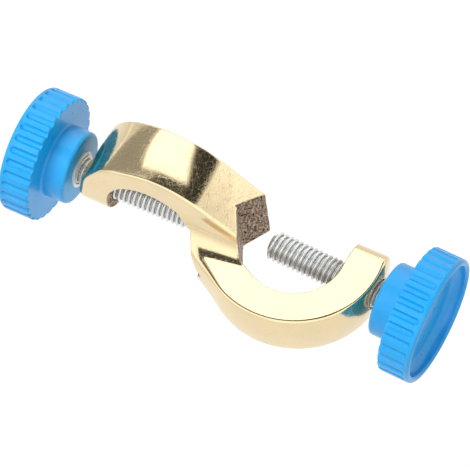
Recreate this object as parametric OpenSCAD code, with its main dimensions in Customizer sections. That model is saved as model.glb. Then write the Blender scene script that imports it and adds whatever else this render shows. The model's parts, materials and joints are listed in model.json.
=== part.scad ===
// Boss head clamp: one brass casting with two jaws set a quarter turn apart,
// and a steel screw with a plastic knob in the arm of each jaw.
// Frame: X runs along the left screw, Z is up, and the origin lies on that screw's
// axis, at the root of the right jaw's V seat. The right jaw bows towards -Y and
// takes an upright rod. The left jaw bows towards +Z and takes a rod along Y.
// The shapes are drawn about the middle of the clamp, midway between the two
// seats, and each node is then moved so that the origin is at the seat.

/* [Jaws] */
// Distance from the screw axis to the face of each jaw that runs into the other jaw
jaw_face = 7; // [5.5:0.1:8]
// Distance from the screw axis to the right jaw's lower face, at the middle of the bow
right_far = 6.9; // [6.5:0.1:9]
// Distance from the screw axis to the left jaw's far face, at the middle of the bow
left_far = 9; // [8:0.1:11]
// Angle at which each jaw widens from the seats to its arm, in degrees
taper = 5; // [0.5:0.1:6]
// Radius of the round inside of the right jaw
right_gap_r = 13.3; // [11:0.1:15]
// Radius of the round inside of the left jaw
left_gap_r = 12.8; // [11:0.1:15]
// Distance from the middle of the clamp to the middle of the right round inside
right_gap_x = 18.3; // [17:0.1:21]
// Distance from the middle of the clamp to the middle of the left round inside
left_gap_x = 19.7; // [17:0.1:21]
// How far the middle of the right round inside lies from the screw axis, towards the bow
right_drop = 0.3; // [0:0.1:3]
// How far the middle of the left round inside lies from the screw axis, towards the bow
left_drop = 2; // [0:0.1:3]
// Outer radius of the bow
bow_r = 24.3; // [22:0.1:28]
// Distance from the screw axis to the outside of each bow
bow_depth = 22.8; // [20:0.1:26]
// Distance from the middle of the clamp to the middle of each bow's outer circle
bow_x = 17.5; // [16:0.1:20]
// Slope of the straight back that runs from the bow to the seat, in degrees
back_slope = 30; // [28:1:36]
// Distance from the screw axis to the round end of the right arm
right_tip = 10.6; // [8:0.1:12]
// Distance from the screw axis to the round end of the left arm
left_tip = 7; // [7:0.1:12]
// Radius of the outer corner of the left arm
left_corner = 6; // [4:0.1:7]
// Radius of the bow's worn outer edges
edge_r = 1; // [0.5:0.1:2]
// Height of the crown across the bow's outer face
crown = 0.6; // [0.2:0.1:1.2]

/* [Seats] */
// Distance from the middle of the clamp to the root of each V seat
seat_x = 2.6; // [1.5:0.1:4]
// Included angle of each V seat, in degrees
seat_angle = 127; // [110:1:140]
// Reach of each seat from its root towards the bow
seat_lip = 9.6; // [8:0.1:11]
// Radius of the hollow that blends one jaw into the other
blend_r = 6; // [3:0.1:8]

/* [Screws] */
// Diameter of each screw over its thread (5/16 in)
screw_d = 7.9; // [6:0.1:9]
// Clearance between the screw and its hole in the arm, on the radius
screw_clear = 0.05; // [0.02:0.01:0.1]
// Length of each screw from the end of the hub to its tip
screw_reach = 32.9; // [28:0.1:36]
// Depth of each screw inside its knob
screw_depth = 10; // [8:0.5:11]
// Length of the chamfer at the screw's tip
tip_chamfer = 1; // [0.4:0.1:1.6]
// Pitch of the thread (18 to the inch)
pitch = 1.411; // [1:0.001:2]
// Depth of the thread's grooves
thread_depth = 0.7; // [0.3:0.05:0.8]
// Lean of the right screw, whose hole was drilled a little askew, in degrees
right_lean = 2.5; // [0:0.5:4]
// Gap between the right arm and its hub, as the screw stands
right_gap = 1.9; // [1.4:0.1:8]
// Gap between the left arm and its hub, as the screw stands
left_gap = 2.4; // [1.4:0.1:8]

/* [Knobs] */
// Diameter of the knob's rim
rim_d = 34.2; // [30:0.2:40]
// Thickness of the knob's rim
rim_t = 8.8; // [7:0.2:12]
// Number of grip grooves round the rim
grooves = 32; // [20:1:40]
// Radius of each grip groove
groove_r = 1; // [0.6:0.1:1.2]
// Depth of each grip groove
groove_depth = 0.55; // [0.3:0.05:0.6]
// Width of the plain lip beyond the grooves
lip_w = 1.3; // [0.8:0.1:2]
// Wall of the rim round the hollow outer face
rim_wall = 1.8; // [1.5:0.1:3]
// Depth of the hollow outer face
dish_depth = 3.8; // [2:0.1:4]
// Diameter of the hub
hub_d = 19.9; // [16:0.1:22]
// Length of the hub
hub_l = 6.5; // [5:0.1:9]
// Radius of the moulded edges of rim and hub
knob_edge = 0.9; // [0.4:0.1:1.2]
// Diameter of the steel bush in the hub
bush_d = 10; // [9.6:0.1:12]
// Length of the bush inside the hub
bush_l = 5; // [3:0.5:6]
// How far the bush stands out of the hub
bush_proud = 0.7; // [0.3:0.1:1]
// Clearance of the bush on the screw and in the hub, on the radius
bush_clear = 0.02; // [0.01:0.01:0.05]

/* [Hidden] */
$fn = 96;

brass = "#d8c184";
steel = "#b9bec2";
blue = "#2a9df0";

// Distance from the screw axis to the middle of the bow's outer circle
bow_y = bow_r - bow_depth;
// Radius of the crown across the bow's outer face
crown_r = (jaw_face * jaw_face + crown * crown) / (2 * crown);
// Depth of the bow below the screw axis, before its lower face is cut
bow_low = 16;
// Outer face of each arm where the screw passes through it
arm_x = bow_x + sqrt(bow_r * bow_r - bow_y * bow_y);
// Slope of the seat's faces: distance across the seat for each unit of depth
seat_run = tan(seat_angle / 2);
// Longer than half the clamp, for cuts that pass right through
far = 100;
// Overrun of a cut or a filling piece past the face it starts from
over = 1;
// How far a round runs past the face it meets, which leaves a slight edge between them
edge_run = 0.2;
// Length of the straight back, past the lip of the seat
back_l = 16;
// Depth of material under the bow's outer face, before it is opened
back_t = 13.5;
// Turn of the bow past the X direction, at its arm
bow_turn = 50;
hole_r = screw_d / 2 + screw_clear;
// Width of each crest and each root of the thread
crest_w = pitch / 8;
root_w = pitch / 4;
// Number of grooves from the chamfer to the bush
threads = floor((screw_reach - tip_chamfer - bush_proud) / pitch);

// Points on an arc from angle a to angle b
function arc(x, y, r, a, b, steps = 8) =
    [for (i = [0 : steps]) let (t = a + (b - a) * i / steps) [x + r * cos(t), y + r * sin(t)]];

// Distance from the screw axis to a jaw's tapered far face, at x along the axis
function far_face(w_far, x) = w_far / cos(taper) + (x - bow_x) * tan(taper);

// Half section of the bow: crowned outside, rounded at its upper edge, inside the opening at r0
bow_section =
    let (turn = asin((jaw_face - edge_r) / (crown_r - edge_r)),
         edge_x = bow_r - crown_r + (crown_r - edge_r) * cos(turn),
         r0 = bow_r - back_t)
    concat([[r0, -bow_low]],
           arc(bow_r - crown_r, 0, crown_r, -asin(bow_low / crown_r), turn, 10),
           arc(edge_x, jaw_face - edge_r, edge_r, turn, 90, 5),
           [[r0, jaw_face]]);

// Section of the cutter that rounds the edge of a lower face at a distance w below the axis
function edge_section(w) =
    let (face_x = bow_r - crown_r + sqrt(crown_r * crown_r - w * w),
         x = face_x - edge_r,
         z = edge_r - w,
         end = -30,
         run = 2 * over)
    concat([[x, -w - over]],
           arc(x, z, edge_r, -90, end, 4),
           [[x + edge_r * cos(end) - run * sin(end), z + edge_r * sin(end) + run * cos(end)],
            [face_x + run, -w - over]]);

// Turns what is built for the right side into its partner on the left
module left_side() {
    rotate(180, [0, 1, -1]) children();
}

// Sweeps a half section round the bow and down its straight back
module sweep(section) {
    translate([bow_x, bow_y, 0]) rotate([0, 0, -90 - back_slope]) {
        rotate_extrude(angle = 90 + back_slope + bow_turn, convexity = 4) polygon(section);
        rotate([90, 0, 0]) linear_extrude(back_l) polygon(section);
    }
}

// Block in the middle, where the two jaws cross and the seats are cut
module middle_block() {
    translate([-bow_x / 2, -jaw_face, -bow_low])
        cube([bow_x, bow_low + jaw_face, bow_low + jaw_face]);
}

// What lies below the right jaw, whose lower face drops from the seats to the arm
module below_face(w_far) {
    rotate([90, 0, 0]) linear_extrude(far, center = true)
        polygon([[-bow_x, -far_face(w_far, -bow_x)], [far / 2, -far_face(w_far, far / 2)],
                 [far / 2, -far / 2], [-bow_x, -far / 2]]);
}

// What is cut from the edge between the bow's outer face and its dropping lower face
module lower_edge(w_far) {
    translate([bow_x, 0, 0]) rotate([0, taper, 0]) translate([-bow_x, 0, 0])
        sweep(edge_section(w_far));
}

// What is cut from an arm's end to leave it half round about X
module past_tip(w_far, tip) {
    arm_far = far_face(w_far, arm_x);
    tip_r = (jaw_face + arm_far) / 2 + edge_run;
    translate([bow_x, tip - tip_r, (jaw_face - arm_far) / 2]) difference() {
        translate([0, 0, -far / 2]) cube([far, far, far]);
        translate([-over, 0, 0]) rotate([0, 90, 0]) cylinder(h = far + 2 * over, r = tip_r);
    }
}

// What is cut from the left arm to round its outer corner
module past_corner() {
    inset = left_corner - edge_run;
    translate([arm_x - inset, left_tip - inset, -far / 2]) difference() {
        cube([far, far, far]);
        translate([0, 0, -over]) cylinder(h = far + 2 * over, r = left_corner);
    }
}

// Opening of the right jaw: V seat, round inside and mouth, through the full height.
// The lip of the seat runs into the round inside along a tangent.
module jaw_opening(x, drop, r) {
    lip = [seat_x + seat_lip / seat_run, -seat_lip];
    out = lip - [x, -drop];
    start = 360 + atan2(out[1], out[0]) + acos(min(1, r / norm(out)));
    linear_extrude(far, center = true)
        polygon(concat([[seat_x, 0], lip],
                       arc(x, -drop, r, start, 360, 40),
                       [[x + r, far / 2], [seat_x + far / 2 / seat_run, far / 2]]));
}

// All that lies within the rounded edge of the right jaw's straight back
module inside_back() {
    translate([bow_x, bow_y, 0]) rotate([0, 0, -90 - back_slope])
        translate([bow_r - crown - edge_r / 2 - far, -far / 2, -far / 2]) cube([far, far, far]);
}

// Hollow that blends the front of the left jaw into the top of the right jaw
module blend() {
    mid = jaw_face + blend_r;
    difference() {
        intersection() {
            translate([-bow_x, -mid, jaw_face - over])
                cube([2 * bow_x, blend_r + over, blend_r + over]);
            inside_back();
            left_side() inside_back();
        }
        translate([0, -mid, mid]) rotate([0, 90, 0])
            cylinder(h = far, r = blend_r + edge_run, center = true);
    }
}

// Leans what lies along the right arm's screw, about the point where it leaves the arm
module leaning(angle) {
    translate([arm_x, 0, 0]) rotate([0, 0, -angle]) children();
}

// Hole for the screw, through the right arm alone
module screw_hole(angle) {
    leaning(angle) translate([bow_x - arm_x, 0, 0]) rotate([0, 90, 0]) cylinder(h = far, r = hole_r);
}

module clamp_body() {
    color(brass) in_frame() difference() {
        union() {
            difference() {
                sweep(bow_section);
                lower_edge(right_far);
                past_tip(right_far, right_tip);
            }
            left_side() difference() {
                sweep(bow_section);
                lower_edge(left_far);
                past_tip(left_far, left_tip);
                past_corner();
            }
            middle_block();
            blend();
        }
        below_face(right_far);
        left_side() below_face(left_far);
        jaw_opening(right_gap_x, right_drop, right_gap_r);
        left_side() jaw_opening(left_gap_x, left_drop, left_gap_r);
        screw_hole(right_lean);
        left_side() screw_hole(0);
    }
}

// Moves what is drawn about the middle of the clamp into the part's frame
module in_frame() {
    translate([-seat_x, 0, 0]) children();
}

// Places what is built along +X from a hub's end at the hub of the right side
module at_right_hub() {
    in_frame() leaning(right_lean) translate([right_gap, 0, 0]) children();
}

// Places what is built along +X from a hub's end at the hub of the left side
module at_left_hub() {
    in_frame() rotate([0, 0, 180]) translate([arm_x + left_gap, 0, 0]) children();
}

// Half section of the screw, as radius and distance from its tip. The thread is drawn as
// rings one pitch apart, and the shank inside the bush and the knob is plain.
function screw_section() =
    let (crest_r = screw_d / 2,
         root_r = crest_r - thread_depth,
         flank = (pitch - crest_w - root_w) / 2)
    concat([[0, 0], [crest_r - tip_chamfer, 0]],
           [for (i = [0 : threads - 1], step = [[0, crest_r], [crest_w, crest_r],
                                                [crest_w + flank, root_r],
                                                [crest_w + flank + root_w, root_r]])
               [step[1], tip_chamfer + i * pitch + step[0]]],
           [[crest_r, tip_chamfer + threads * pitch],
            [crest_r, screw_reach + screw_depth],
            [0, screw_reach + screw_depth]]);

// Screw, with its hub's end at the origin and its tip towards -X
module screw() {
    rotate([0, 90, 0]) translate([0, 0, -screw_reach])
        rotate_extrude(convexity = 4) polygon(screw_section());
}

// Steel bush that lines the hub round the screw
module bush() {
    rotate([0, 90, 0]) translate([0, 0, -bush_proud]) difference() {
        cylinder(h = bush_proud + bush_l, d = bush_d);
        translate([0, 0, -over])
            cylinder(h = bush_proud + bush_l + 2 * over, r = screw_d / 2 + bush_clear);
    }
}

// Half section of the knob, as radius and distance along its axis
function knob_section() =
    let (rim_r = rim_d / 2,
         hub_r = hub_d / 2,
         end = hub_l + rim_t,
         dish_r = rim_r - rim_wall,
         dish_round = dish_depth - rim_wall / 2)
    concat([[0, 0]],
           arc(hub_r - knob_edge, knob_edge, knob_edge, -90, 0, 5),
           arc(hub_r + knob_edge / 2, hub_l - knob_edge / 2, knob_edge / 2, 180, 90, 4),
           arc(rim_r - knob_edge, hub_l + knob_edge, knob_edge, -90, 0, 5),
           arc(rim_r - rim_wall / 2, end - rim_wall / 2, rim_wall / 2, 0, 180, 10),
           arc(dish_r - dish_round, end - rim_wall / 2, dish_round, 0, -90, 8),
           [[0, end - dish_depth]]);

module knob() {
    rotate([0, 90, 0]) difference() {
        rotate_extrude(convexity = 6) polygon(knob_section());
        for (i = [0 : grooves - 1])
            rotate(360 * i / grooves)
                translate([rim_d / 2 + groove_r - groove_depth, 0, hub_l - over])
                    cylinder(h = rim_t + over - lip_w, r = groove_r);
        translate([0, 0, -over]) cylinder(h = bush_l + over, r = bush_d / 2 + bush_clear);
        translate([0, 0, -over]) cylinder(h = screw_depth + over, d = screw_d);
    }
}

module left_screw() {
    color(steel) at_left_hub() screw();
}

module right_screw() {
    color(steel) at_right_hub() screw();
}

module left_bush() {
    color(steel) at_left_hub() bush();
}

module right_bush() {
    color(steel) at_right_hub() bush();
}

module left_knob() {
    color(blue) at_left_hub() knob();
}

module right_knob() {
    color(blue) at_right_hub() knob();
}

clamp_body();
left_screw();
right_screw();
left_bush();
right_bush();
left_knob();
right_knob();
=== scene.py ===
import json
import math

import bmesh
import bpy
import numpy as np
from mathutils import Matrix, Vector


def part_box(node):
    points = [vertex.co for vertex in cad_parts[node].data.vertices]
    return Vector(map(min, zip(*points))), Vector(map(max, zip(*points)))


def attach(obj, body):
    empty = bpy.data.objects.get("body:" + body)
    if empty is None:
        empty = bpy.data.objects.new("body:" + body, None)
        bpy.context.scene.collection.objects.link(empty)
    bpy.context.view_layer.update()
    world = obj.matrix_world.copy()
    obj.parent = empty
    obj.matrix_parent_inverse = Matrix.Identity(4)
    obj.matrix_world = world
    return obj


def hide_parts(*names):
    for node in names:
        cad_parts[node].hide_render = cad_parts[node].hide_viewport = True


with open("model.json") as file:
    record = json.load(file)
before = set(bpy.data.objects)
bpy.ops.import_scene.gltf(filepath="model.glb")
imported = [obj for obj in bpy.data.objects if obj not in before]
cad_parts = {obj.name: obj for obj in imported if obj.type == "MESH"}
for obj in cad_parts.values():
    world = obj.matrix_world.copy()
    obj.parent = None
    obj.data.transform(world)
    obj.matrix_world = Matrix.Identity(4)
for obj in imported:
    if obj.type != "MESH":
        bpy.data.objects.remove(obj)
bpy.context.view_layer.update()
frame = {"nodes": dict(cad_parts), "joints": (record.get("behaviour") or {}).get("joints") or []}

bl_info = {
    "name": "Boss head clamp",
    "version": (1, 0, 0),
    "blender": (4, 5, 0),
    "location": "View3D > Sidebar > Boss head",
    "description": "Dresses the solid model of a boss head clamp: polished casting, threaded studs, knobs",
    "category": "Object",
}

MM = 0.001
SIDES = ("right", "left")


def linear(hex_colour):
    """Linear RGBA of an sRGB hex colour."""
    channels = [int(hex_colour[i : i + 2], 16) / 255 for i in (1, 3, 5)]
    return tuple(c / 12.92 if c <= 0.04045 else ((c + 0.055) / 1.055) ** 2.4 for c in channels) + (1.0,)


def number(name, description, value, **settings):
    """A property that holds a number."""
    return bpy.props.FloatProperty(name=name, description=description, default=value, **settings)


def count(name, description, value):
    """A property that holds a whole number."""
    return bpy.props.IntProperty(name=name, description=description, default=value)


def length(name, description, millimetres):
    """A property that holds a length, with its default given in millimetres."""
    return number(name, description, millimetres * MM, unit="LENGTH", precision=5)


def angle(name, description, degrees):
    """A property that holds an angle, with its default given in degrees."""
    return number(name, description, math.radians(degrees), subtype="ANGLE")


def colour(name, description, hex_colour):
    """A property that holds a colour, with its default given as sRGB hex."""
    return bpy.props.FloatVectorProperty(
        name=name, description=description, default=linear(hex_colour), subtype="COLOR", size=4
    )


def in_mm(group, *names):
    """The named lengths of a property group, in millimetres."""
    return [getattr(group, name) / MM for name in names]


class CastingSizes(bpy.types.PropertyGroup):
    """Sizes of the brass casting, about the middle between its two V seats"""

    seat_x: length("Seat depth", "From the middle of the clamp to the root of each V seat", 2.6)
    seat_draft: angle("Seat draft", "Draft of each seat's root, deeper at the back of the other jaw", 3)
    seat_root: length("Seat root", "Radius of the root of each seat", 1.2)
    seat_lip: length("Seat reach", "Reach of each seat from its root towards the bow", 9.6)
    seat_angle: angle("Seat angle", "Included angle of each V seat", 127)
    mouth_angle: angle("Seat mouth angle", "From the screw axis to the seat's face on the mouth's side", 61)
    jaw_face: length("Jaw face", "From the screw axis to the face that runs into the other jaw", 7)
    right_far: length("Right far face", "From the screw axis to the right jaw's lower face", 6.9)
    left_far: length("Left far face", "From the screw axis to the left jaw's far face", 8.6)
    right_taper: angle("Right taper", "Angle at which the right jaw widens from its seat to the bow", 7)
    left_taper: angle("Left taper", "Angle at which the left jaw widens from its seat to the bow", 2.2)
    right_flare: angle("Right flare", "Angle at which the right jaw widens from the bow to its arm", 5)
    left_flare: angle("Left flare", "Angle at which the left jaw widens from the bow to its arm", 5.7)
    right_gap_r: length("Right inside radius", "Radius of the round inside of the right jaw", 13.3)
    left_gap_r: length("Left inside radius", "Radius of the round inside of the left jaw", 12.8)
    right_gap_x: length("Right inside middle", "From the clamp's middle to the right inside's middle", 18.3)
    left_gap_x: length("Left inside middle", "From the clamp's middle to the left inside's middle", 19.7)
    right_drop: length("Right drop", "How far the right round inside lies towards the bow", 0.3)
    left_drop: length("Left drop", "How far the left round inside lies towards the bow", 2)
    bow_r: length("Bow radius", "Outer radius of the bow", 24.3)
    bow_x: length("Bow middle", "From the middle of the clamp to the middle of each bow", 17.5)
    bow_depth: length("Bow depth", "From the screw axis to the outside of each bow", 22.8)
    back_slope: angle("Back slope", "Slope of the straight back", 30)
    right_tip: length("Right tip", "From the screw axis to the end of the right arm", 10.6)
    left_tip: length("Left tip", "From the screw axis to the end of the left arm", 7)
    left_corner: length("Left corner", "Radius of the outer corner of the left arm", 6)
    edge_r: length("Edge radius", "Radius of the bow's worn outer edges", 0.8)
    back_edge_r: length("Back edge radius", "Radius of the lower edge of the straight back", 5.5)
    rolled_edge_r: length("Rolled edge radius", "Radius of the upper edge of the straight back", 2)
    arm_edge_r: length("Arm edge radius", "Radius of the front edge of the left arm", 2.2)
    crown: length("Crown", "Height of the crown across the bow's outer face", 0.6)
    left_crown_shift: length("Left crown shift", "How far the left crown's top lies towards the far face", 2)
    blend_r: length("Blend radius", "Radius of the hollow between the jaws, at its middle", 6.4)
    blend_change: number("Blend change", "How much the hollow's radius grows for each unit to the left", 0.2)
    gap_edge: length("Opening edge", "Radius of the edges round each opening", 0.35)
    hole_r: length("Hole radius", "Radius of the hole for each screw", 4.0)
    right_lean: angle("Right lean", "Lean of the right screw's hole", 2.5)
    hole_edge: length("Hole edge", "Radius of the edge at the mouth of each hole", 0.5)
    grain: length("Mesh step", "Distance between the points of the casting's mesh", 0.33)


class StudSizes(bpy.types.PropertyGroup):
    """Sizes of the thread on both studs"""

    pitch: length("Pitch", "Distance from one crest of the thread to the next, 18 to the inch", 1.4111)
    depth: length("Depth", "Depth of the thread, from crest to root", 0.80)
    crest: length("Crest", "Width of the flat on each crest", 0.18)
    tip: length("Tip", "Length of the chamfer at the tip", 1.0)
    steps: count("Steps", "Points on each turn of the thread", 48)


class KnobSizes(bpy.types.PropertyGroup):
    """Sizes of both knobs and their bushes"""

    rim_t: length("Rim thickness", "Thickness of the knob's rim", 8.8)
    rim_wall: length("Rim wall", "Wall round the hollow outer face", 1.8)
    dish: length("Dish depth", "Depth of the hollow outer face", 3.8)
    dish_slope: length("Dish slope", "How far the hollow's wall slopes in from the rim", 3.2)
    hub_r: length("Hub radius", "Radius of the hub", 9.95)
    edge: length("Edge radius", "Radius of the moulded edges of rim and hub", 0.9)
    lip: length("Lip", "Width of the plain lip beyond the grooves", 1.3)
    groove_r: length("Groove radius", "Radius of each grip groove", 0.85)
    groove_depth: length("Groove depth", "Depth of each grip groove", 0.8)
    grooves: count("Grooves", "Number of grip grooves", 32)
    clearance: length("Clearance", "Clearance of the bush on the screw and in the hub", 0.02)


class Finishes(bpy.types.PropertyGroup):
    """Colours of the finishes"""

    brass: colour("Polished brass", "Pale gold of mirror-polished brass", "#E0CCA4")
    cast_skin: colour("Cast skin", "Brown-grey of brass as it left the mould", "#7A6856")
    zinc: colour("Zinc plate", "Bright zinc on steel", "#EBECEA")
    blue: colour("Blue plastic", "Sky blue of the moulded knobs", "#12A6EC")
    floor: colour("Floor", "White of the floor and backdrop", "#FFFFFF")


class StageSizes(bpy.types.PropertyGroup):
    """Sizes and light of the stage"""

    distance: length("Camera distance", "From the clamp to the camera along the view", 769.2)
    shift_right: length("Aim right", "How far right of the clamp's middle the camera's axis passes", 0.769)
    shift_down: length("Aim down", "How far below the clamp's middle the camera's axis passes", 0.641)
    lens_ratio: number("Lens ratio", "Focal length over the sensor's width", 6.38298)
    drop: length("Floor drop", "From the screw axis down to the floor", 120)
    floor_size: length("Floor size", "Width and depth of the floor", 8000)
    floor_lit: number("Floor lit", "Share of the lamps' light that the floor shows to the eye", 0.35)
    floor_glow: number("Floor glow", "White that the floor shows of its own", 0.78)
    floor_bounce: number("Floor bounce", "Share of the light that the floor throws onto the clamp", 0.8)
    room_light: number("Room light", "Strength of the room's light", 0.42)


# Zinc plate and turned steel aren't full mirrors: a part of their light is scattered, as frosted metal does
PLATE_METALLIC = 0.6


# ---------------- nodes


def wire(tree, made, links):
    """Links a node's inputs, each from an output or from the first output of a node."""
    for source, target in links:
        if isinstance(source, bpy.types.Node):
            source = source.outputs[0]
        tree.links.new(source, made.inputs[target])


def node(tree, kind, links=(), inputs=None, **settings):
    """Adds a node with its settings, the values of its inputs and its links, as in wire(). Inputs go by name,
    or by number where a node has several of one name."""
    made = tree.nodes.new(kind)
    for key, value in settings.items():
        setattr(made, key, value)
    for key, value in (inputs or {}).items():
        made.inputs[key].default_value = value
    wire(tree, made, links)
    return made


def maths(tree, operation, links, inputs=None, **settings):
    """A node that does one operation on numbers."""
    return node(tree, "ShaderNodeMath", links, inputs, operation=operation, **settings)


def noise(tree, at, size, detail):
    """A noise on a place. Its scale is one over a size in millimetres."""
    return node(tree, "ShaderNodeTexNoise", [(at, 0)], {"Scale": 1 / (size * MM), "Detail": detail})


def material(name):
    """A new node material, its tree and its Principled shader."""
    made = bpy.data.materials.new(name)
    made.use_nodes = True
    return made, made.node_tree, made.node_tree.nodes["Principled BSDF"]


def tint(ramp, base, shares, places=(0, 1)):
    """Sets both stops of a colour ramp: the base colour times each share, at each place."""
    for stop, share, place in zip(ramp.color_ramp.elements, shares, places):
        stop.position = place
        stop.color = (*[min(1, c * share) for c in base[:3]], 1)


def roughness(tree, pattern, smoothest, roughest):
    """Roughness that follows a noise, whose values lie mostly between 0.3 and 0.7."""
    spread = {"From Min": 0.3, "From Max": 0.7, "To Min": smoothest, "To Max": roughest}
    return node(tree, "ShaderNodeMapRange", [(pattern, 0)], spread)


def scratches(tree, at, turn, gap, width):
    """Long thin lines, gap millimetres apart: 1 on a line, 0 beside it. The width is a share of the noise's
    range."""
    along = node(
        tree, "ShaderNodeMapping", [(at, 0)], {"Rotation": turn, "Scale": (14, 1, 1)}, vector_type="TEXTURE"
    )
    off = maths(tree, "SUBTRACT", [(noise(tree, along, gap, 0.0), 0)], {1: 0.5})
    off = maths(tree, "ABSOLUTE", [(off, 0)])
    return node(tree, "ShaderNodeMapRange", [(off, 0)], {"From Max": width, "To Min": 1.0, "To Max": 0.0})


def brass_finish(tree, shader, at, finishes):
    """Mirror-polished brass, buffed by hand: a clear warm mirror with fine scratches. Where the casting's
    cast attribute is 1 it is as it left the sand: a rough brown-grey skin with a few bright specks."""
    cast = node(tree, "ShaderNodeAttribute", attribute_name="cast").outputs["Fac"]
    # Buffing scratches in three directions, 0.8 to 1.4 mm apart
    first, second, third = (
        scratches(tree, at, turn, gap, width)
        for turn, gap, width in (
            ((0, 0.5, 1.2), 0.8, 0.022),
            ((0, -0.4, 1.9), 1.1, 0.02),
            ((0, -0.8, 0.2), 1.4, 0.02),
        )
    )
    scratch = maths(tree, "MAXIMUM", [(first, 0), (second, 1)])
    scratch = maths(tree, "MAXIMUM", [(scratch, 0), (third, 1)])
    brushed = node(tree, "ShaderNodeMapping", [(at, 0)], {"Rotation": (0, 0.4, 0), "Scale": (0.12, 1, 1)})
    haze, swell, grain, lumps = (
        noise(tree, place, size, detail)
        for place, size, detail in (
            (brushed, 0.5, 3.0),  # haze of finer brushing along the jaws, about 0.25 mm from line to line
            (at, 7, 1.0),  # slow waviness that hand buffing leaves, about 7 mm from swell to swell
            (at, 0.55, 5.0),  # sand-cast grain, about 0.5 mm
            (at, 1.6, 2.0),  # coarser lumps of the sand, about 1.6 mm
        )
    )

    polished_tone = node(tree, "ShaderNodeValToRGB", [(swell, 0)])
    tint(polished_tone, finishes.brass, (0.93, 1.04))
    cast_tone = node(tree, "ShaderNodeValToRGB", [(grain, 0)])
    tint(cast_tone, finishes.cast_skin, (0.1, 3.6), (0.4, 0.62))
    tone = node(tree, "ShaderNodeMix", [(cast, 0), (polished_tone, 6), (cast_tone, 7)], data_type="RGBA")

    # A scratch scatters what the mirror round it shows
    dulled = node(tree, "ShaderNodeMapRange", [(scratch, 0)], {"To Max": 0.32})
    hazy = roughness(tree, haze, 0.05, 0.14)
    polished_rough = maths(tree, "MAXIMUM", [(hazy, 0), (dulled, 1)])
    sandy = {"From Min": 0.38, "From Max": 0.6, "To Min": 0.3, "To Max": 0.75}
    cast_rough = node(tree, "ShaderNodeMapRange", [(lumps, 0)], sandy)
    rough = node(tree, "ShaderNodeMix", [(cast, 0), (polished_rough, 2), (cast_rough, 3)])
    metal = node(tree, "ShaderNodeMapRange", [(cast, 0)], {"To Min": 1.0, "To Max": 0.55})

    normals = []
    # Relief of the polished and of the cast faces: each layer's pattern, strength and height in millimetres
    for layers in (
        ((haze, 0.35, 0.003), (scratch, 0.6, -0.004), (swell, 0.6, 0.06)),
        ((lumps, 1.0, 0.9), (grain, 1.0, 0.45)),
    ):
        under = []
        for pattern, strength, height in layers:
            bump = node(
                tree,
                "ShaderNodeBump",
                [(pattern, "Height"), *under],
                {"Strength": strength, "Distance": abs(height) * MM},
                invert=height < 0,
            )
            under = [(bump, "Normal")]
        normals.append(bump)
    normal = node(tree, "ShaderNodeMix", [(cast, 0), (normals[0], 4), (normals[1], 5)], data_type="VECTOR")
    wire(tree, shader, [(tone.outputs[2], "Base Color"), (rough, "Roughness"), (metal, "Metallic")])
    wire(tree, shader, [(normal.outputs[1], "Normal")])


def zinc_finish(tree, shader, at, finishes):
    """Bright zinc plate over rolled thread: a cool, slightly frosted metal."""
    frost = noise(tree, at, 0.5, 3.0)
    tone = node(tree, "ShaderNodeValToRGB", [(frost, 0)])
    tint(tone, finishes.zinc, (0.86, 1.08))
    wire(tree, shader, [(tone, "Base Color"), (roughness(tree, frost, 0.24, 0.38), "Roughness")])
    shader.inputs["Metallic"].default_value = PLATE_METALLIC


def turned_finish(tree, shader, at, finishes):
    """Steel turned on a lathe: fine rings round the axis of both screws, about 0.12 mm apart."""
    flat = node(tree, "ShaderNodeVectorMath", [(at, 0)], {1: (0, 1, 1)}, operation="MULTIPLY")
    radius = node(tree, "ShaderNodeVectorMath", [(flat, 0)], operation="LENGTH").outputs["Value"]
    fine = {"Scale": 1 / (0.25 * MM), "Detail": 2.0}
    rings = node(tree, "ShaderNodeTexNoise", [(radius, "W")], fine, noise_dimensions="1D")
    bump = node(tree, "ShaderNodeBump", [(rings, "Height")], {"Strength": 0.6, "Distance": 0.012 * MM})
    wire(tree, shader, [(roughness(tree, rings, 0.3, 0.5), "Roughness"), (bump, "Normal")])
    shader.inputs["Base Color"].default_value = finishes.zinc
    shader.inputs["Metallic"].default_value = PLATE_METALLIC


def plastic_finish(tree, shader, at, finishes):
    """Injection-moulded ABS, semi-gloss: an even sky blue with slight mottling and a soft moulded skin."""
    # Mottling about 2.5 mm across, and the mould's fine skin of about 0.3 mm
    mottle = noise(tree, at, 2.5, 4.0)
    skin = noise(tree, at, 0.3, 2.0)
    tone = node(tree, "ShaderNodeValToRGB", [(mottle, 0)])
    tint(tone, finishes.blue, (0.95, 1.05), (0.25, 0.75))
    bump = node(tree, "ShaderNodeBump", [(skin, "Height")], {"Strength": 0.3, "Distance": 0.006 * MM})
    rough = roughness(tree, mottle, 0.27, 0.33)
    wire(tree, shader, [(tone, "Base Color"), (rough, "Roughness"), (bump, "Normal")])
    shader.inputs["IOR"].default_value = 1.54


FINISHES = {
    "brass_polished_and_as_cast": brass_finish,
    "steel_bright_zinc_plated": zinc_finish,
    "steel_turned": turned_finish,
    "abs_moulded_sky_blue": plastic_finish,
}


def finish(name):
    """The named finish, made once."""
    made = bpy.data.materials.get(name)
    if not made:
        made, tree, shader = material(name)
        at = node(tree, "ShaderNodeTexCoord").outputs["Object"]
        FINISHES[name](tree, shader, at, bpy.context.scene.boss_finishes)
    return made


# ---------------- casting

# The rounds that settle the casting's mesh, and those at the end that only bring it back onto the surface
ROUNDS = 6
LAST_ROUNDS = 2
# The reach of a slope, and the furthest that a point is brought back in a round, in millimetres
SLOPE_STEP = 0.02
FURTHEST = 0.3


def both_rounded(a, b, r):
    """Distance to what lies inside both a and b, with the edge between them rounded to radius r."""
    return np.minimum(-r, np.maximum(a, b)) + np.hypot(np.maximum(r + a, 0), np.maximum(r + b, 0))


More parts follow.
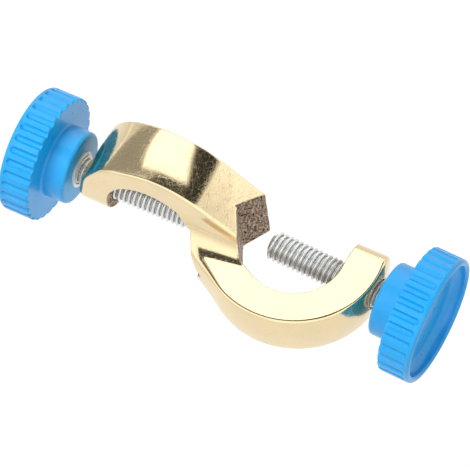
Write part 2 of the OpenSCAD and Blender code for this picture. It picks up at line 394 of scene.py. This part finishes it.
def between(value, low, high):
    """0 below low, 1 above high, and smooth in between."""
    share = np.clip((value - low) / (high - low), 0, 1)
    return share * share * (3 - 2 * share)


class Casting:
    """The casting as a distance, in millimetres: negative inside the metal, about the middle of the clamp.
    Both jaws are drawn as the right one, and swapped() takes a point to the left jaw's drawing."""

    # Where worn edges change their radius, in millimetres: the rolled edge and the back edge along x, and the
    # arm edge along x from the bow's middle and along y
    ROLLED = (-2, 9)
    BACK = (0, 14)
    ARM = (0, 6)
    ARM_UP = (-11, -3)
    # Where the left crown flattens towards the arm, from the bow's middle, and the share of it that is lost
    FLATTENED = (8, 18)
    FLAT_SHARE = 0.9
    # How far the cast skin reaches over an opening's edge, as a share of the edge
    SKIN_REACH = 0.35

    def __init__(self, sizes):
        for name in CastingSizes.__annotations__:
            value, unit = getattr(sizes, name), sizes.bl_rna.properties[name].unit
            setattr(self, name, value / MM if unit == "LENGTH" else value)
        self.bow_y = self.bow_r - self.bow_depth
        self.arm_x = self.bow_x + math.sqrt(self.bow_r**2 - self.bow_y**2)
        self.crown_r = (self.jaw_face**2 + self.crown**2) / (2 * self.crown)

    @staticmethod
    def swapped(x, y, z):
        """A point as the other jaw's drawing has it."""
        return -x, -z, -y

    def sizes_of(self, side, *names):
        """The named sizes of one side."""
        return [getattr(self, f"{side}_{name}") for name in names]

    def far_face(self, side, x):
        """Distance from the screw axis to a jaw's dropping far face, at x."""
        past = x - self.bow_x
        far, taper, flare = self.sizes_of(side, "far", "taper", "flare")
        return far + np.minimum(past, 0) * math.tan(taper) + np.maximum(past, 0) * math.tan(flare)

    def rim(self, side, x, y, z):
        """Distance to the crowned outer face of a jaw's bow and straight back."""
        turn = -math.pi / 2 - self.back_slope
        dx, dy = x - self.bow_x, y - self.bow_y
        u = dx * math.cos(turn) + dy * math.sin(turn)
        v = -dx * math.sin(turn) + dy * math.cos(turn)
        outline = np.where(v < 0, u, np.hypot(u, v)) - self.bow_r
        across = np.abs(z + (self.left_crown_shift if side == "left" else 0))
        # Well outside the jaw the crown drops no further
        drop = self.crown_r - np.sqrt(self.crown_r**2 - np.minimum(across, self.crown_r * 0.9) ** 2)
        if side == "left":
            drop = drop * (1 - self.FLAT_SHARE * between(dx, *self.FLATTENED))
        return outline + drop

    def corner(self, x, y):
        """Distance to the rounded outer corner of the left arm."""
        cx, cy = self.arm_x - self.left_corner, self.left_tip - self.left_corner
        past = (x > cx) & (y > cy)
        return np.where(past, np.hypot(x - cx, y - cy), 0) - self.left_corner

    def rolled_edge(self, x):
        """Radius of the right jaw's upper outer edge, which grows towards the other jaw."""
        return self.edge_r + (self.rolled_edge_r - self.edge_r) * (1 - between(x, *self.ROLLED))

    def jaw(self, side, x, y, z):
        """Distance to a solid jaw, before it is opened."""
        other = "left" if side == "right" else "right"
        tip, taper = self.sizes_of(side, "tip", "taper")
        lower = -(z + self.far_face(side, x)) * math.cos(taper)
        arm_far = self.far_face(side, self.arm_x)
        tip_r = (self.jaw_face + arm_far) / 2
        mid = (self.jaw_face - arm_far) / 2
        rolled = (x > self.bow_x) & (y > tip - tip_r)
        upper = np.where(rolled, np.hypot(y - tip + tip_r, z - mid) - tip_r, z - self.jaw_face)
        outer = self.rim(side, x, y, z)
        upper_r = lower_r = self.edge_r
        if side == "left":
            outer = np.maximum(outer, self.corner(x, y))
            near = between(y, *self.ARM_UP) * between(x - self.bow_x, *self.ARM)
            upper_r = self.edge_r + (self.arm_edge_r - self.edge_r) * near
        else:
            lower_r = self.edge_r + (self.back_edge_r - self.edge_r) * (1 - between(x, *self.BACK))
            upper_r = self.rolled_edge(x)
        body = both_rounded(np.maximum(upper, lower), outer, np.where(z > mid, upper_r, lower_r))
        back = (y - self.far_face(other, -x)) * math.cos(*self.sizes_of(other, "taper"))
        body = both_rounded(body, np.where(x > self.bow_x, -self.bow_r, back), self.gap_edge)
        return np.maximum(body, -self.bow_x - x)

    def opening(self, side, x, y, z):
        """Distance to a jaw's opening, negative inside it: round inside, V seat and mouth."""
        gap_x, drop, gap_r = self.sizes_of(side, "gap_x", "drop", "gap_r")
        half = self.seat_angle / 2
        lip = np.array([self.seat_x + self.seat_lip / math.tan(half), -self.seat_lip])
        out = lip - [gap_x, -drop]
        start = math.atan2(out[1], out[0]) + math.acos(gap_r / np.hypot(*out))
        dx, dy = x - gap_x, y + drop
        disc = np.hypot(dx, dy) - gap_r
        drafted = np.clip(z - self.jaw_face / 2, -self.jaw_face, 2 * self.jaw_face)
        deep = x - self.seat_x + drafted * math.tan(self.seat_draft)
        upper = y * math.cos(self.mouth_angle) - deep * math.sin(self.mouth_angle)
        lower = -y * math.cos(half) - deep * math.sin(half)
        tangent = dx * math.cos(start) + dy * math.sin(start) - gap_r
        past = dy * math.cos(start) - dx * math.sin(start)
        seat = np.maximum(both_rounded(upper, lower, self.seat_root), np.maximum(tangent, past))
        mouth = np.maximum(np.maximum(upper, dx - gap_r), -dy)
        return np.minimum(np.minimum(disc, seat), mouth)

    def blend(self, x, y, z):
        """Distance to the hollow filling between the right jaw's top and the left jaw's front."""
        radius = self.blend_r - self.blend_change * x
        mid = self.jaw_face + radius
        sunk = self.jaw_face - self.rolled_edge_r - 1
        hollow = radius - np.hypot(np.minimum(y + mid, radius), np.minimum(z - mid, radius))
        hollow = np.where((y + mid > 0) & (z - mid < 0), hollow, radius)
        filling = both_rounded(hollow, self.rim("right", x, y, z), self.rolled_edge(x))
        filling = both_rounded(filling, self.rim("left", *self.swapped(x, y, z)), self.edge_r)
        return np.maximum(filling, np.maximum(sunk - z, y + sunk))

    def hole(self, side, x, y, z):
        """Distance to a screw's hole, negative inside it. The right one leans about the arm's outer face."""
        lean = self.right_lean if side == "right" else 0
        off = (x - self.arm_x) * math.sin(lean) + y * math.cos(lean)
        return np.where(x > self.bow_x, np.hypot(off, z) - self.hole_r, self.bow_r)

    def cuts(self, x, y, z):
        """Distance to each opening and hole, and the radius of the edge round it."""
        places = (("right", x, y, z), ("left", *self.swapped(x, y, z)))
        return [(self.opening(*place), self.gap_edge) for place in places] + [
            (self.hole(*place), self.hole_edge) for place in places
        ]

    def solid(self, x, y, z):
        """Distance to both jaws and the blend, before they are opened and drilled."""
        right = self.jaw("right", x, y, z)
        left = self.jaw("left", *self.swapped(x, y, z))
        return np.minimum(np.minimum(right, left), self.blend(x, y, z))

    def distance(self, x, y, z):
        """Distance to the whole casting."""
        body = self.solid(x, y, z)
        for cut, edge in self.cuts(x, y, z):
            body = both_rounded(body, -cut, edge)
        return body

    def cast_skin(self, x, y, z):
        """1 on the faces inside an opening or a hole, which stay as cast, and 0 on the polished ones."""
        inside = np.minimum.reduce([cut for cut, _ in self.cuts(x, y, z)])
        return np.clip((-self.solid(x, y, z) - inside) / (2 * self.gap_edge) + self.SKIN_REACH, 0, 1)


def slope(distance, points):
    """Gradient of a distance at each point."""
    slopes = []
    for axis in np.eye(3) * SLOPE_STEP:
        slopes.append(distance(*(points + axis).T) - distance(*(points - axis).T))
    return np.stack(slopes, axis=1) / (2 * SLOPE_STEP)


def surface_of(distance, low, high, step):
    """Points and quads of the surface where a distance is 0, by surface nets on a grid."""
    axes = [np.arange(a - step, b + 2 * step, step) for a, b in zip(low, high)]
    grid = distance(*np.meshgrid(*axes, indexing="ij", sparse=True))
    grid = np.ascontiguousarray(np.broadcast_to(grid, [len(a) for a in axes]))
    inside = grid < 0
    cells = tuple(n - 1 for n in grid.shape)
    total = np.zeros(cells + (3,))
    crossings = np.zeros(cells, int)

    def corner(values, c):
        return values[tuple(slice(i, i + n) for i, n in zip(c, cells))]

    # Each cell's point is the mean of the points where the surface crosses the cell's edges
    for axis in range(3):
        for c in np.ndindex(2, 2, 2):
            if c[axis]:
                continue
            d = tuple(v + (n == axis) for n, v in enumerate(c))
            fa, fb = corner(grid, c), corner(grid, d)
            cross = corner(inside, c) != corner(inside, d)
            share = np.where(cross, fa / np.where(cross, fa - fb, 1), 0)
            for n in range(3):
                total[..., n] += np.where(cross, c[n] + (share if n == axis else 0), 0)
            crossings += cross
    used = crossings > 0
    index = np.full(cells, -1)
    index[used] = np.arange(used.sum())
    at = np.argwhere(used) + total[used] / crossings[used][:, None]
    points = np.array([a[0] for a in axes]) + at * step
    # Each edge of the grid that the surface crosses gives a face between the four cells round it
    quads = []
    for axis in range(3):
        u, v = [(1, 2), (2, 0), (0, 1)][axis]
        a, b = (inside.take(range(end, cells[axis] + end), axis) for end in (0, 1))
        where = np.argwhere(a != b)
        where = where[(where[:, u] > 0) & (where[:, v] > 0)]
        leaving = a[tuple(where.T)]
        ring = []
        for du, dv in ((1, 1), (0, 1), (0, 0), (1, 0)):
            cell = where.copy()
            cell[:, u] -= du
            cell[:, v] -= dv
            ring.append(index[tuple(cell.T)])
        ring = np.stack(ring, axis=1)
        ring[~leaving] = ring[~leaving][:, ::-1]
        quads.append(ring)
    return points, np.concatenate(quads)


def settle(distance, points, quads):
    """Evens out the points along the surface, and brings them back onto it."""
    edges = np.concatenate([quads[:, [i, (i + 1) % 4]] for i in range(4)])
    edges = np.concatenate([edges, edges[:, ::-1]])
    neighbours = np.bincount(edges[:, 0], minlength=len(points))[:, None]
    for turn in range(ROUNDS):
        if turn < ROUNDS - LAST_ROUNDS:
            total = np.zeros_like(points)
            np.add.at(total, edges[:, 0], points[edges[:, 1]])
            # Half of the way to the mean of the neighbours
            points = points + 0.5 * (total / neighbours - points)
        normal = slope(distance, points)
        # Where the distance grows slowly, as in a corner, a point isn't thrown far
        size = np.maximum((normal**2).sum(1), 0.25)
        points = points - np.clip(distance(*points.T) / size, -FURTHEST, FURTHEST)[:, None] * normal
    return points


def add_object(name, data):
    """A new object in the scene."""
    made = bpy.data.objects.new(name, data)
    bpy.context.scene.collection.objects.link(made)
    return made


def mesh_object(name, points, faces, finish_name):
    """A new object at the origin from points in millimetres."""
    mesh = bpy.data.meshes.new(name)
    mesh.from_pydata([tuple(p) for p in points * MM], [], [tuple(int(i) for i in f) for f in faces])
    mesh.materials.append(finish(finish_name))
    mesh.shade_smooth()
    return add_object(name, mesh)


# ---------------- turned and moulded pieces


def turned(section, steps, shape=None):
    """Points and faces of a section, given as (along the axis, radius), turned about X. shape may change the
    radius by place and angle."""
    angles = np.arange(steps) * 2 * math.pi / steps
    points, faces, rows = [], [], []
    for along, radius in section:
        around = angles if radius else angles[:1]
        rows.append(range(len(points), len(points) + len(around)))
        for a in around:
            r = shape(along, radius, a) if shape and radius else radius
            points.append((along, r * math.cos(a), r * math.sin(a)))
    for low, high in zip(rows, rows[1:]):
        for i in range(steps):
            ends = ((low, i), (low, i + 1), (high, i + 1), (high, i))
            # Where a row is one point on the axis, the face is a triangle
            faces.append(tuple(dict.fromkeys(row[at % len(row)] for row, at in ends)))
    return np.array(points), faces


def arc(along, radius, r, start, end, steps):
    """Points of an arc of a section, with angles in degrees: 0 points outwards and 90 along the axis."""
    turns = [math.radians(start + (end - start) * i / steps) for i in range(steps + 1)]
    return [(along + r * math.sin(t), radius + r * math.cos(t)) for t in turns]


def subdivided(section, longest):
    """A section with no stretch longer than longest."""
    out = [section[0]]
    for a, b in zip(section, section[1:]):
        parts = max(1, math.ceil(math.dist(a, b) / longest))
        out += [tuple(p + (q - p) * i / parts for p, q in zip(a, b)) for i in range(1, parts + 1)]
    return out


def hub(side):
    """The middle of a hub's end, in metres, and the turn whose X runs outwards along that side's screw."""
    joint = next(j for j in frame["joints"] if j["name"] == f"{side}_screw_turn")
    along = Vector(joint["axis"]).normalized()
    up = Vector((0, 0, 1))
    return np.array(joint["pos_m"]), np.array([along, up.cross(along), up])


def place_of(side):
    """Where a piece goes that is drawn outwards from its hub's end."""
    end, turn = hub(side)
    return Matrix.Translation(Vector(end)) @ Matrix(turn).transposed().to_4x4()


def reach_of(side, piece):
    """Lowest and highest corner of a CAD node seen from its hub's end, in millimetres."""
    end, turn = hub(side)
    points = np.array([v.co for v in frame["nodes"][f"{side}_{piece}"].data.vertices])
    seen = (points - end) @ turn.T / MM
    return seen.min(0), seen.max(0)


class CastBody(bpy.types.Operator):
    """Makes the polished casting with its two jaws"""

    bl_idname = "boss_head.cast_body"
    bl_label = "Casting"

    def execute(self, context):
        casting = Casting(context.scene.boss_casting)
        offset = np.array([casting.seat_x, 0, 0])
        low, high = (np.array(corner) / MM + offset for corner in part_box("clamp_body"))
        points, quads = surface_of(casting.distance, low, high, casting.grain)
        points = settle(casting.distance, points, quads)
        normals = slope(casting.distance, points)
        normals /= np.maximum(np.linalg.norm(normals, axis=1), 1e-9)[:, None]
        skin = casting.cast_skin(*points.T)
        body = mesh_object("brass_casting", points - offset, quads, "brass_polished_and_as_cast")
        attribute = body.data.attributes.new("cast", "FLOAT", "POINT")
        attribute.data.foreach_set("value", skin.astype(np.float32))
        body.data.normals_split_custom_set_from_vertices(normals.tolist())
        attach(body, "clamp")
        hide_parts("clamp_body")
        return {"FINISHED"}


def thread_tree(metal):
    """Geometry nodes that wind a thread's ridge round X and join it to the stud's core."""
    tree = bpy.data.node_groups.new("thread", "GeometryNodeTree")
    floats = ("Root radius", "Pitch", "Depth", "Crest", "Length", "Start", "Fade")
    for name, kind in (("Geometry", "Geometry"), *[(name, "Float") for name in floats], ("Steps", "Int")):
        tree.interface.new_socket(name, in_out="INPUT", socket_type=f"NodeSocket{kind}")
    tree.interface.new_socket("Geometry", in_out="OUTPUT", socket_type="NodeSocketGeometry")
    given = node(tree, "NodeGroupInput").outputs
    turns = maths(tree, "DIVIDE", [(given["Length"], 0), (given["Pitch"], 1)])
    spiral = node(
        tree,
        "GeometryNodeCurveSpiral",
        [
            (given["Steps"], "Resolution"),
            (turns, "Rotations"),
            (given["Root radius"], "Start Radius"),
            (given["Root radius"], "End Radius"),
            (given["Length"], "Height"),
        ],
    )
    upright = node(tree, "GeometryNodeSetCurveNormal", [(spiral, 0)], mode="Z_UP")
    # The ridge rises from nothing at both ends
    place = node(tree, "GeometryNodeSplineParameter").outputs["Factor"]
    left = maths(tree, "SUBTRACT", [(place, 1)], {0: 1.0})
    near = maths(tree, "MINIMUM", [(place, 0), (left, 1)])
    rise = maths(tree, "DIVIDE", [(near, 0), (given["Fade"], 1)], use_clamp=True)
    thick = node(tree, "GeometryNodeSetCurveRadius", [(upright, 0), (rise, "Radius")])
    # Its section stands on the root's radius, nearly a pitch wide at the bottom
    root = maths(tree, "MULTIPLY", [(given["Pitch"], 0)], {1: 0.97})
    section = node(
        tree,
        "GeometryNodeCurvePrimitiveQuadrilateral",
        [(root, "Bottom Width"), (given["Crest"], "Top Width"), (given["Depth"], "Height")],
        {"Offset": 0.0},
        mode="TRAPEZOID",
    )
    half = maths(tree, "MULTIPLY", [(given["Depth"], 0)], {1: 0.5})
    lift = node(tree, "ShaderNodeCombineXYZ", [(half, "Y")])
    raised = node(tree, "GeometryNodeTransform", [(section, 0), (lift, "Translation")])
    outward = node(tree, "GeometryNodeTransform", [(raised, 0)], {"Rotation": (0, 0, math.radians(90))})
    wound = node(
        tree, "GeometryNodeCurveToMesh", [(thick, "Curve"), (outward, "Profile Curve")], {"Fill Caps": True}
    )
    start = node(tree, "ShaderNodeCombineXYZ", [(given["Start"], "X")])
    along_x = {"Rotation": (0, math.radians(90), 0)}
    laid = node(tree, "GeometryNodeTransform", [(wound, 0), (start, "Translation")], along_x)
    joined = node(tree, "GeometryNodeJoinGeometry", [(given["Geometry"], 0), (laid, 0)])
    real = node(tree, "GeometryNodeRealizeInstances", [(joined, 0)])
    finished = node(tree, "GeometryNodeSetMaterial", [(real, 0)], {"Material": metal})
    node(tree, "NodeGroupOutput", [(finished, 0)])
    return tree


class ThreadedStuds(bpy.types.Operator):
    """Makes the two threaded studs"""

    bl_idname = "boss_head.threaded_studs"
    bl_label = "Threaded studs"

    def execute(self, context):
        sizes = context.scene.boss_studs
        pitch, depth, crest, tip = in_mm(sizes, "pitch", "depth", "crest", "tip")
        for side in SIDES:
            low, high = reach_of(side, "screw")
            root_r = high[2] - depth
            # The core, with a chamfer at its tip
            section = [(low[0], 0), (low[0], root_r - tip * 0.45), (low[0] + tip * 0.6, root_r)]
            section += [(high[0], root_r), (high[0], 0)]
            points, faces = turned(subdivided(section, 2.0), sizes.steps)
            core = mesh_object(f"{side}_stud", points, faces, "steel_bright_zinc_plated")
            fix_normals(core)
            thread = core.modifiers.new("thread", "NODES")
            thread.node_group = thread_tree(core.active_material)
            start = low[0] + tip * 0.5
            length_along = high[0] - pitch * 0.5 - start
            # The ridge's foot lies a little inside the core
            sunk = 0.03
            given = {
                "Root radius": (root_r - sunk) * MM,
                "Pitch": pitch * MM,
                "Depth": (depth + sunk) * MM,
                "Crest": crest * MM,
                "Length": length_along * MM,
                "Start": start * MM,
                "Fade": 0.5 * pitch / length_along,
                "Steps": sizes.steps,
            }
            for item in thread.node_group.interface.items_tree:
                if item.in_out == "INPUT" and item.name in given:
                    thread[item.identifier] = given[item.name]
            made_plain(core)
            core.data.transform(place_of(side))
            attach(core, f"{side}_turn")
            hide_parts(f"{side}_screw")
        return {"FINISHED"}


def fix_normals(made, crisp=None):
    """Merges doubles and turns every face outwards. Edges sharper than crisp, in degrees, aren't smoothed."""
    work = bmesh.new()
    work.from_mesh(made.data)
    bmesh.ops.remove_doubles(work, verts=work.verts, dist=1e-7)
    bmesh.ops.recalc_face_normals(work, faces=work.faces)
    work.to_mesh(made.data)
    work.free()
    if crisp:
        made.data.set_sharp_from_angle(angle=math.radians(crisp))


def made_plain(made):
    """Turns what the object's modifiers make into its own plain mesh, and removes them."""
    context = bpy.context
    context.view_layer.update()
    plain = bpy.data.meshes.new_from_object(made.evaluated_get(context.evaluated_depsgraph_get()))
    made.modifiers.clear()
    made.data = plain
    plain.shade_smooth()


class Bushes(bpy.types.Operator):
    """Makes the two turned bushes"""

    bl_idname = "boss_head.bushes"
    bl_label = "Bushes"

    def execute(self, context):
        sizes = context.scene.boss_knobs
        (clearance,) = in_mm(sizes, "clearance")
        for side in SIDES:
            (start, _, _), (bush_l, _, bush_r) = reach_of(side, "bush")
            bore_r = reach_of(side, "screw")[1][2] + clearance
            # Width of the chamfers at the end that stands out of the hub
            edge = 0.18
            section = [(bush_l, bore_r), (start + edge, bore_r), (start, bore_r + edge)]
            section += [(start, bush_r - edge), (start + edge, bush_r), (bush_l, bush_r), (bush_l, bore_r)]
            points, faces = turned(section, 96)
            ring = mesh_object(f"{side}_hub_bush", points, faces, "steel_turned")
            fix_normals(ring, 35)
            ring.data.transform(place_of(side))
            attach(ring, f"{side}_travel")
            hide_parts(f"{side}_bush")
        return {"FINISHED"}


class Knobs(bpy.types.Operator):
    """Makes the two moulded knobs with their grip grooves"""

    bl_idname = "boss_head.knobs"
    bl_label = "Knobs"

    def execute(self, context):
        sizes = context.scene.boss_knobs
        rim_t, rim_wall, dish, dish_slope = in_mm(sizes, "rim_t", "rim_wall", "dish", "dish_slope")
        hub_r, edge, lip, clearance = in_mm(sizes, "hub_r", "edge", "lip", "clearance")
        groove_r, groove_depth = in_mm(sizes, "groove_r", "groove_depth")
        neck, back_edge = edge * 0.8, edge / 2
        for side in SIDES:
            end, _, rim_r = reach_of(side, "knob")[1]
            hub_l = end - rim_t
            screw_depth, _, screw_r = reach_of(side, "screw")[1]
            bush_l, _, bush_r = reach_of(side, "bush")[1]
            bush_r += clearance
            round_r = rim_wall / 2
            dish_r = rim_r - rim_wall
            dish_round = dish - round_r
            section = [(screw_depth, 0), (screw_depth, screw_r)]
            section += [(bush_l, screw_r), (bush_l, bush_r), (0, bush_r)]
            section += arc(edge, hub_r - edge, edge, -90, 0, 6)
            section += arc(hub_l - neck, hub_r + neck, neck, 180, 90, 5)
            section += [(hub_l, rim_r - 2 * groove_depth)]
            section += arc(hub_l + back_edge, rim_r - back_edge, back_edge, -90, 0, 5)
            section += subdivided([(hub_l + back_edge, rim_r), (end - round_r, rim_r)], 0.28)[1:-1]
            section += arc(end - round_r, rim_r - round_r, round_r, 0, 180, 14)
            bowl = arc(0, 0, 1, 0, -90, 10)[1:]
            section += [(end - round_r + dish_round * a, dish_r - dish_slope * (1 - r)) for a, r in bowl]
            section += [(end - dish, dish_r * 0.5), (end - dish, 0)]
            spacing = 2 * math.pi / sizes.grooves
            # The grooves end in a slope before the lip, and their edges are softened
            run_out = 0.6
            last = end - lip - groove_r * run_out
            soft, proud = 0.14, 0.01

            def grooved(along, radius, turn):
                across = ((turn + spacing / 2) % spacing - spacing / 2) * rim_r
                over = max(0.0, along - last) / run_out
                wide = groove_r**2 - across**2 - over**2
                cut = math.sqrt(wide) - (groove_r - groove_depth) if wide > 0 else -groove_depth
                deep = 0.5 * (cut + math.sqrt(cut * cut + soft * soft)) - proud
                inside = along > end - round_r or radius < hub_r + edge
                return radius if inside else min(radius, rim_r - deep)

            points, faces = turned(section, sizes.grooves * 14, grooved)
            knob = mesh_object(f"{side}_grip_knob", points, faces, "abs_moulded_sky_blue")
            fix_normals(knob, 50)
            knob.data.transform(place_of(side))
            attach(knob, f"{side}_turn")
            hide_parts(f"{side}_knob")
        return {"FINISHED"}


# What polished metal sees of the room: a bright soft box overhead and darker walls. A direction is a turn
# about Y in degrees, from +X up over the clamp to -X, and a height along Y from -1 to 1. Each line is a patch
# over those before it: turn from and to, height from and to, softness and lean of its last side in degrees,
# brightness
ROOM = (
    (52, 118, -0.40, 0.22, 5, 0, 0.10),
    (118, 150, -0.45, -0.06, 4, 0, 0.15),
    (20, 170, -0.88, -0.38, 8, 0, 1.60),
    (110, 207, 0.10, 1.10, 2, 70, 0.42),
    (60, 123, 0.20, 1.10, 3, -35, 2.15),
    (50, 64, 0.02, 1.10, 4, -38, 0.05),
)
# The camera's right and up, before they are squared with each other
CAMERA_RIGHT = (0.8905, 0.4532, -0.0422)
CAMERA_UP = (-0.3743, 0.7821, 0.4982)
# Name, place and size in metres, and power in watts of each lamp
LAMPS = (("key", (-0.35, -0.2, 0.8), 0.5, 6.2), ("fill", (0.6, -0.4, 0.4), 0.4, 1.3))


def room(tree, direction):
    """Brightness of the room in each direction."""
    parts = node(tree, "ShaderNodeSeparateXYZ", [(direction, 0)]).outputs
    turn = maths(tree, "ARCTAN2", [(parts["Z"], 0), (parts["X"], 1)])
    turn = maths(tree, "DEGREES", [(turn, 0)])
    walls = {"From Min": 50.0, "From Max": 150.0, "To Min": 1.6, "To Max": 1.0}
    bright = node(tree, "ShaderNodeMapRange", [(turn, 0)], walls)
    for start, end, front, back, soft, lean, level in ROOM:
        mask = None
        leant = maths(tree, "MULTIPLY_ADD", [(parts["Y"], 0), (turn, 2)], {1: lean})
        # Each side of the patch: what is measured, where and how softly it falls, and if the patch ends there
        for measured, edge, run, last in (
            (turn, start, soft, False),
            (leant, end, soft, True),
            (parts["Y"], front, soft / 90, False),
            (parts["Y"], back, soft / 90, True),
        ):
            step = node(
                tree,
                "ShaderNodeMapRange",
                [(measured, 0)],
                {"From Min": edge - run, "From Max": edge + run, "To Min": last, "To Max": not last},
                interpolation_type="SMOOTHSTEP",
            )
            if mask is not None:
                step = maths(tree, "MULTIPLY", [(mask, 0), (step, 1)])
            mask = step
        bright = node(tree, "ShaderNodeMix", [(mask, 0), (bright, 2)], {3: level})
    return bright


def add_camera(scene, sizes):
    """Aims the camera beside the middle between the V seats."""
    right = Vector(CAMERA_RIGHT).normalized()
    back = right.cross(Vector(CAMERA_UP).normalized()).normalized()
    up = back.cross(right).normalized()
    aim = Vector((-scene.boss_casting.seat_x, 0, 0)) + right * sizes.shift_right - up * sizes.shift_down
    data = bpy.data.cameras.new("camera")
    data.sensor_width = 36
    data.lens = data.sensor_width * sizes.lens_ratio
    data.clip_end = 10
    scene.camera = add_object("camera", data)
    turn = Matrix((right, up, back)).transposed().to_4x4()
    scene.camera.matrix_world = Matrix.Translation(aim + back * sizes.distance) @ turn


def floor_finish(sizes, white):
    """Matt white paint: white to the eye and in reflections, with a part of that from the lamps, so a shadow
    still shows on it. It throws a plain white floor's light onto the clamp."""
    made, tree, shader = material("floor_matt_white")
    tree.nodes.remove(shader)
    ray = node(tree, "ShaderNodeLightPath").outputs
    seen = maths(tree, "MAXIMUM", [(ray["Is Camera Ray"], 0), (ray["Is Glossy Ray"], 1)])
    seen = maths(tree, "MAXIMUM", [(seen, 0), (ray["Is Transmission Ray"], 1)])
    glow = maths(tree, "MULTIPLY", [(seen, 0)], {1: sizes.floor_glow})
    glowing = node(tree, "ShaderNodeEmission", [(glow, "Strength")], {"Color": white})
    lit, bounced = (
        node(tree, "ShaderNodeBsdfDiffuse", (), {"Color": [c * share for c in white]})
        for share in (sizes.floor_lit, sizes.floor_bounce)
    )
    shown = node(tree, "ShaderNodeAddShader", [(glowing, 0), (lit, 1)])
    mixed = node(tree, "ShaderNodeMixShader", [(seen, 0), (bounced, 1), (shown, 2)])
    wire(tree, tree.nodes["Material Output"], [(mixed, "Surface")])
    return made


def add_floor(sizes, white):
    """Lays the floor below the clamp."""
    half = sizes.floor_size / 2
    plate = bpy.data.meshes.new("floor")
    corners = [(x * half, y * half, -sizes.drop) for x, y in ((-1, -1), (1, -1), (1, 1), (-1, 1))]
    plate.from_pydata(corners, [], [(0, 1, 2, 3)])
    plate.materials.append(floor_finish(sizes, white))
    add_object("floor", plate)


def add_world(scene, sizes, white):
    """Lights the clamp with plain white, shows the room in polished metal and white behind it all."""
    world = bpy.data.worlds.new("studio")
    world.use_nodes = True
    scene.world = world
    tree = world.node_tree
    light = tree.nodes["Background"]
    light.inputs["Color"].default_value = white
    light.inputs["Strength"].default_value = sizes.room_light
    ray = node(tree, "ShaderNodeLightPath").outputs
    around = room(tree, node(tree, "ShaderNodeTexCoord").outputs["Generated"])
    mirrored = node(tree, "ShaderNodeBackground", [(around, "Strength")], {"Color": white})
    plain = node(tree, "ShaderNodeBackground", (), {"Color": white, "Strength": 1.0})
    through = maths(tree, "MAXIMUM", [(ray["Is Camera Ray"], 0), (ray["Is Transmission Ray"], 1)])
    mixed = node(tree, "ShaderNodeMixShader", [(ray["Is Glossy Ray"], 0), (light, 1), (mirrored, 2)])
    mixed = node(tree, "ShaderNodeMixShader", [(through, 0), (mixed, 1), (plain, 2)])
    wire(tree, tree.nodes["World Output"], [(mixed, "Surface")])


def add_lamps():
    """Hangs soft square lamps that face the clamp. Polished metal shows the room in their place."""
    for name, place, size, power in LAMPS:
        data = bpy.data.lights.new(name, "AREA")
        data.size = size
        data.energy = power
        lamp = add_object(name, data)
        lamp.location = place
        lamp.rotation_euler = (-Vector(place)).to_track_quat("-Z", "Y").to_euler()
        lamp.visible_glossy = False


class Stage(bpy.types.Operator):
    """Makes the camera, the floor, the world and the lamps"""

    bl_idname = "boss_head.stage"
    bl_label = "Stage"

    def execute(self, context):
        scene = context.scene
        sizes = scene.boss_stage
        white = scene.boss_finishes.floor
        add_camera(scene, sizes)
        add_floor(sizes, white)
        add_world(scene, sizes, white)
        add_lamps()
        scene.view_settings.view_transform = "Standard"
        return {"FINISHED"}


OPERATORS = (CastBody, ThreadedStuds, Bushes, Knobs, Stage)


class BossHeadPanel(bpy.types.Panel):
    """Lists the pieces of the boss head clamp"""

    bl_idname = "VIEW3D_PT_boss_head"
    bl_label = "Boss head clamp"
    bl_space_type = "VIEW_3D"
    bl_region_type = "UI"
    bl_category = "Boss head"

    def draw(self, context):
        for operator in OPERATORS:
            self.layout.operator(operator.bl_idname)


GROUPS = {
    "boss_casting": CastingSizes,
    "boss_studs": StudSizes,
    "boss_knobs": KnobSizes,
    "boss_finishes": Finishes,
    "boss_stage": StageSizes,
}
CLASSES = (*GROUPS.values(), *OPERATORS, BossHeadPanel)


def register():
    for kind in CLASSES:
        bpy.utils.register_class(kind)
    for name, kind in GROUPS.items():
        setattr(bpy.types.Scene, name, bpy.props.PointerProperty(type=kind))


def unregister():
    for name in GROUPS:
        delattr(bpy.types.Scene, name)
    for kind in reversed(CLASSES):
        bpy.utils.unregister_class(kind)


def main():
    register()
    bpy.ops.boss_head.cast_body()
    bpy.ops.boss_head.threaded_studs()
    bpy.ops.boss_head.bushes()
    bpy.ops.boss_head.knobs()
    bpy.ops.boss_head.stage()


if __name__ == "__main__":
    main()
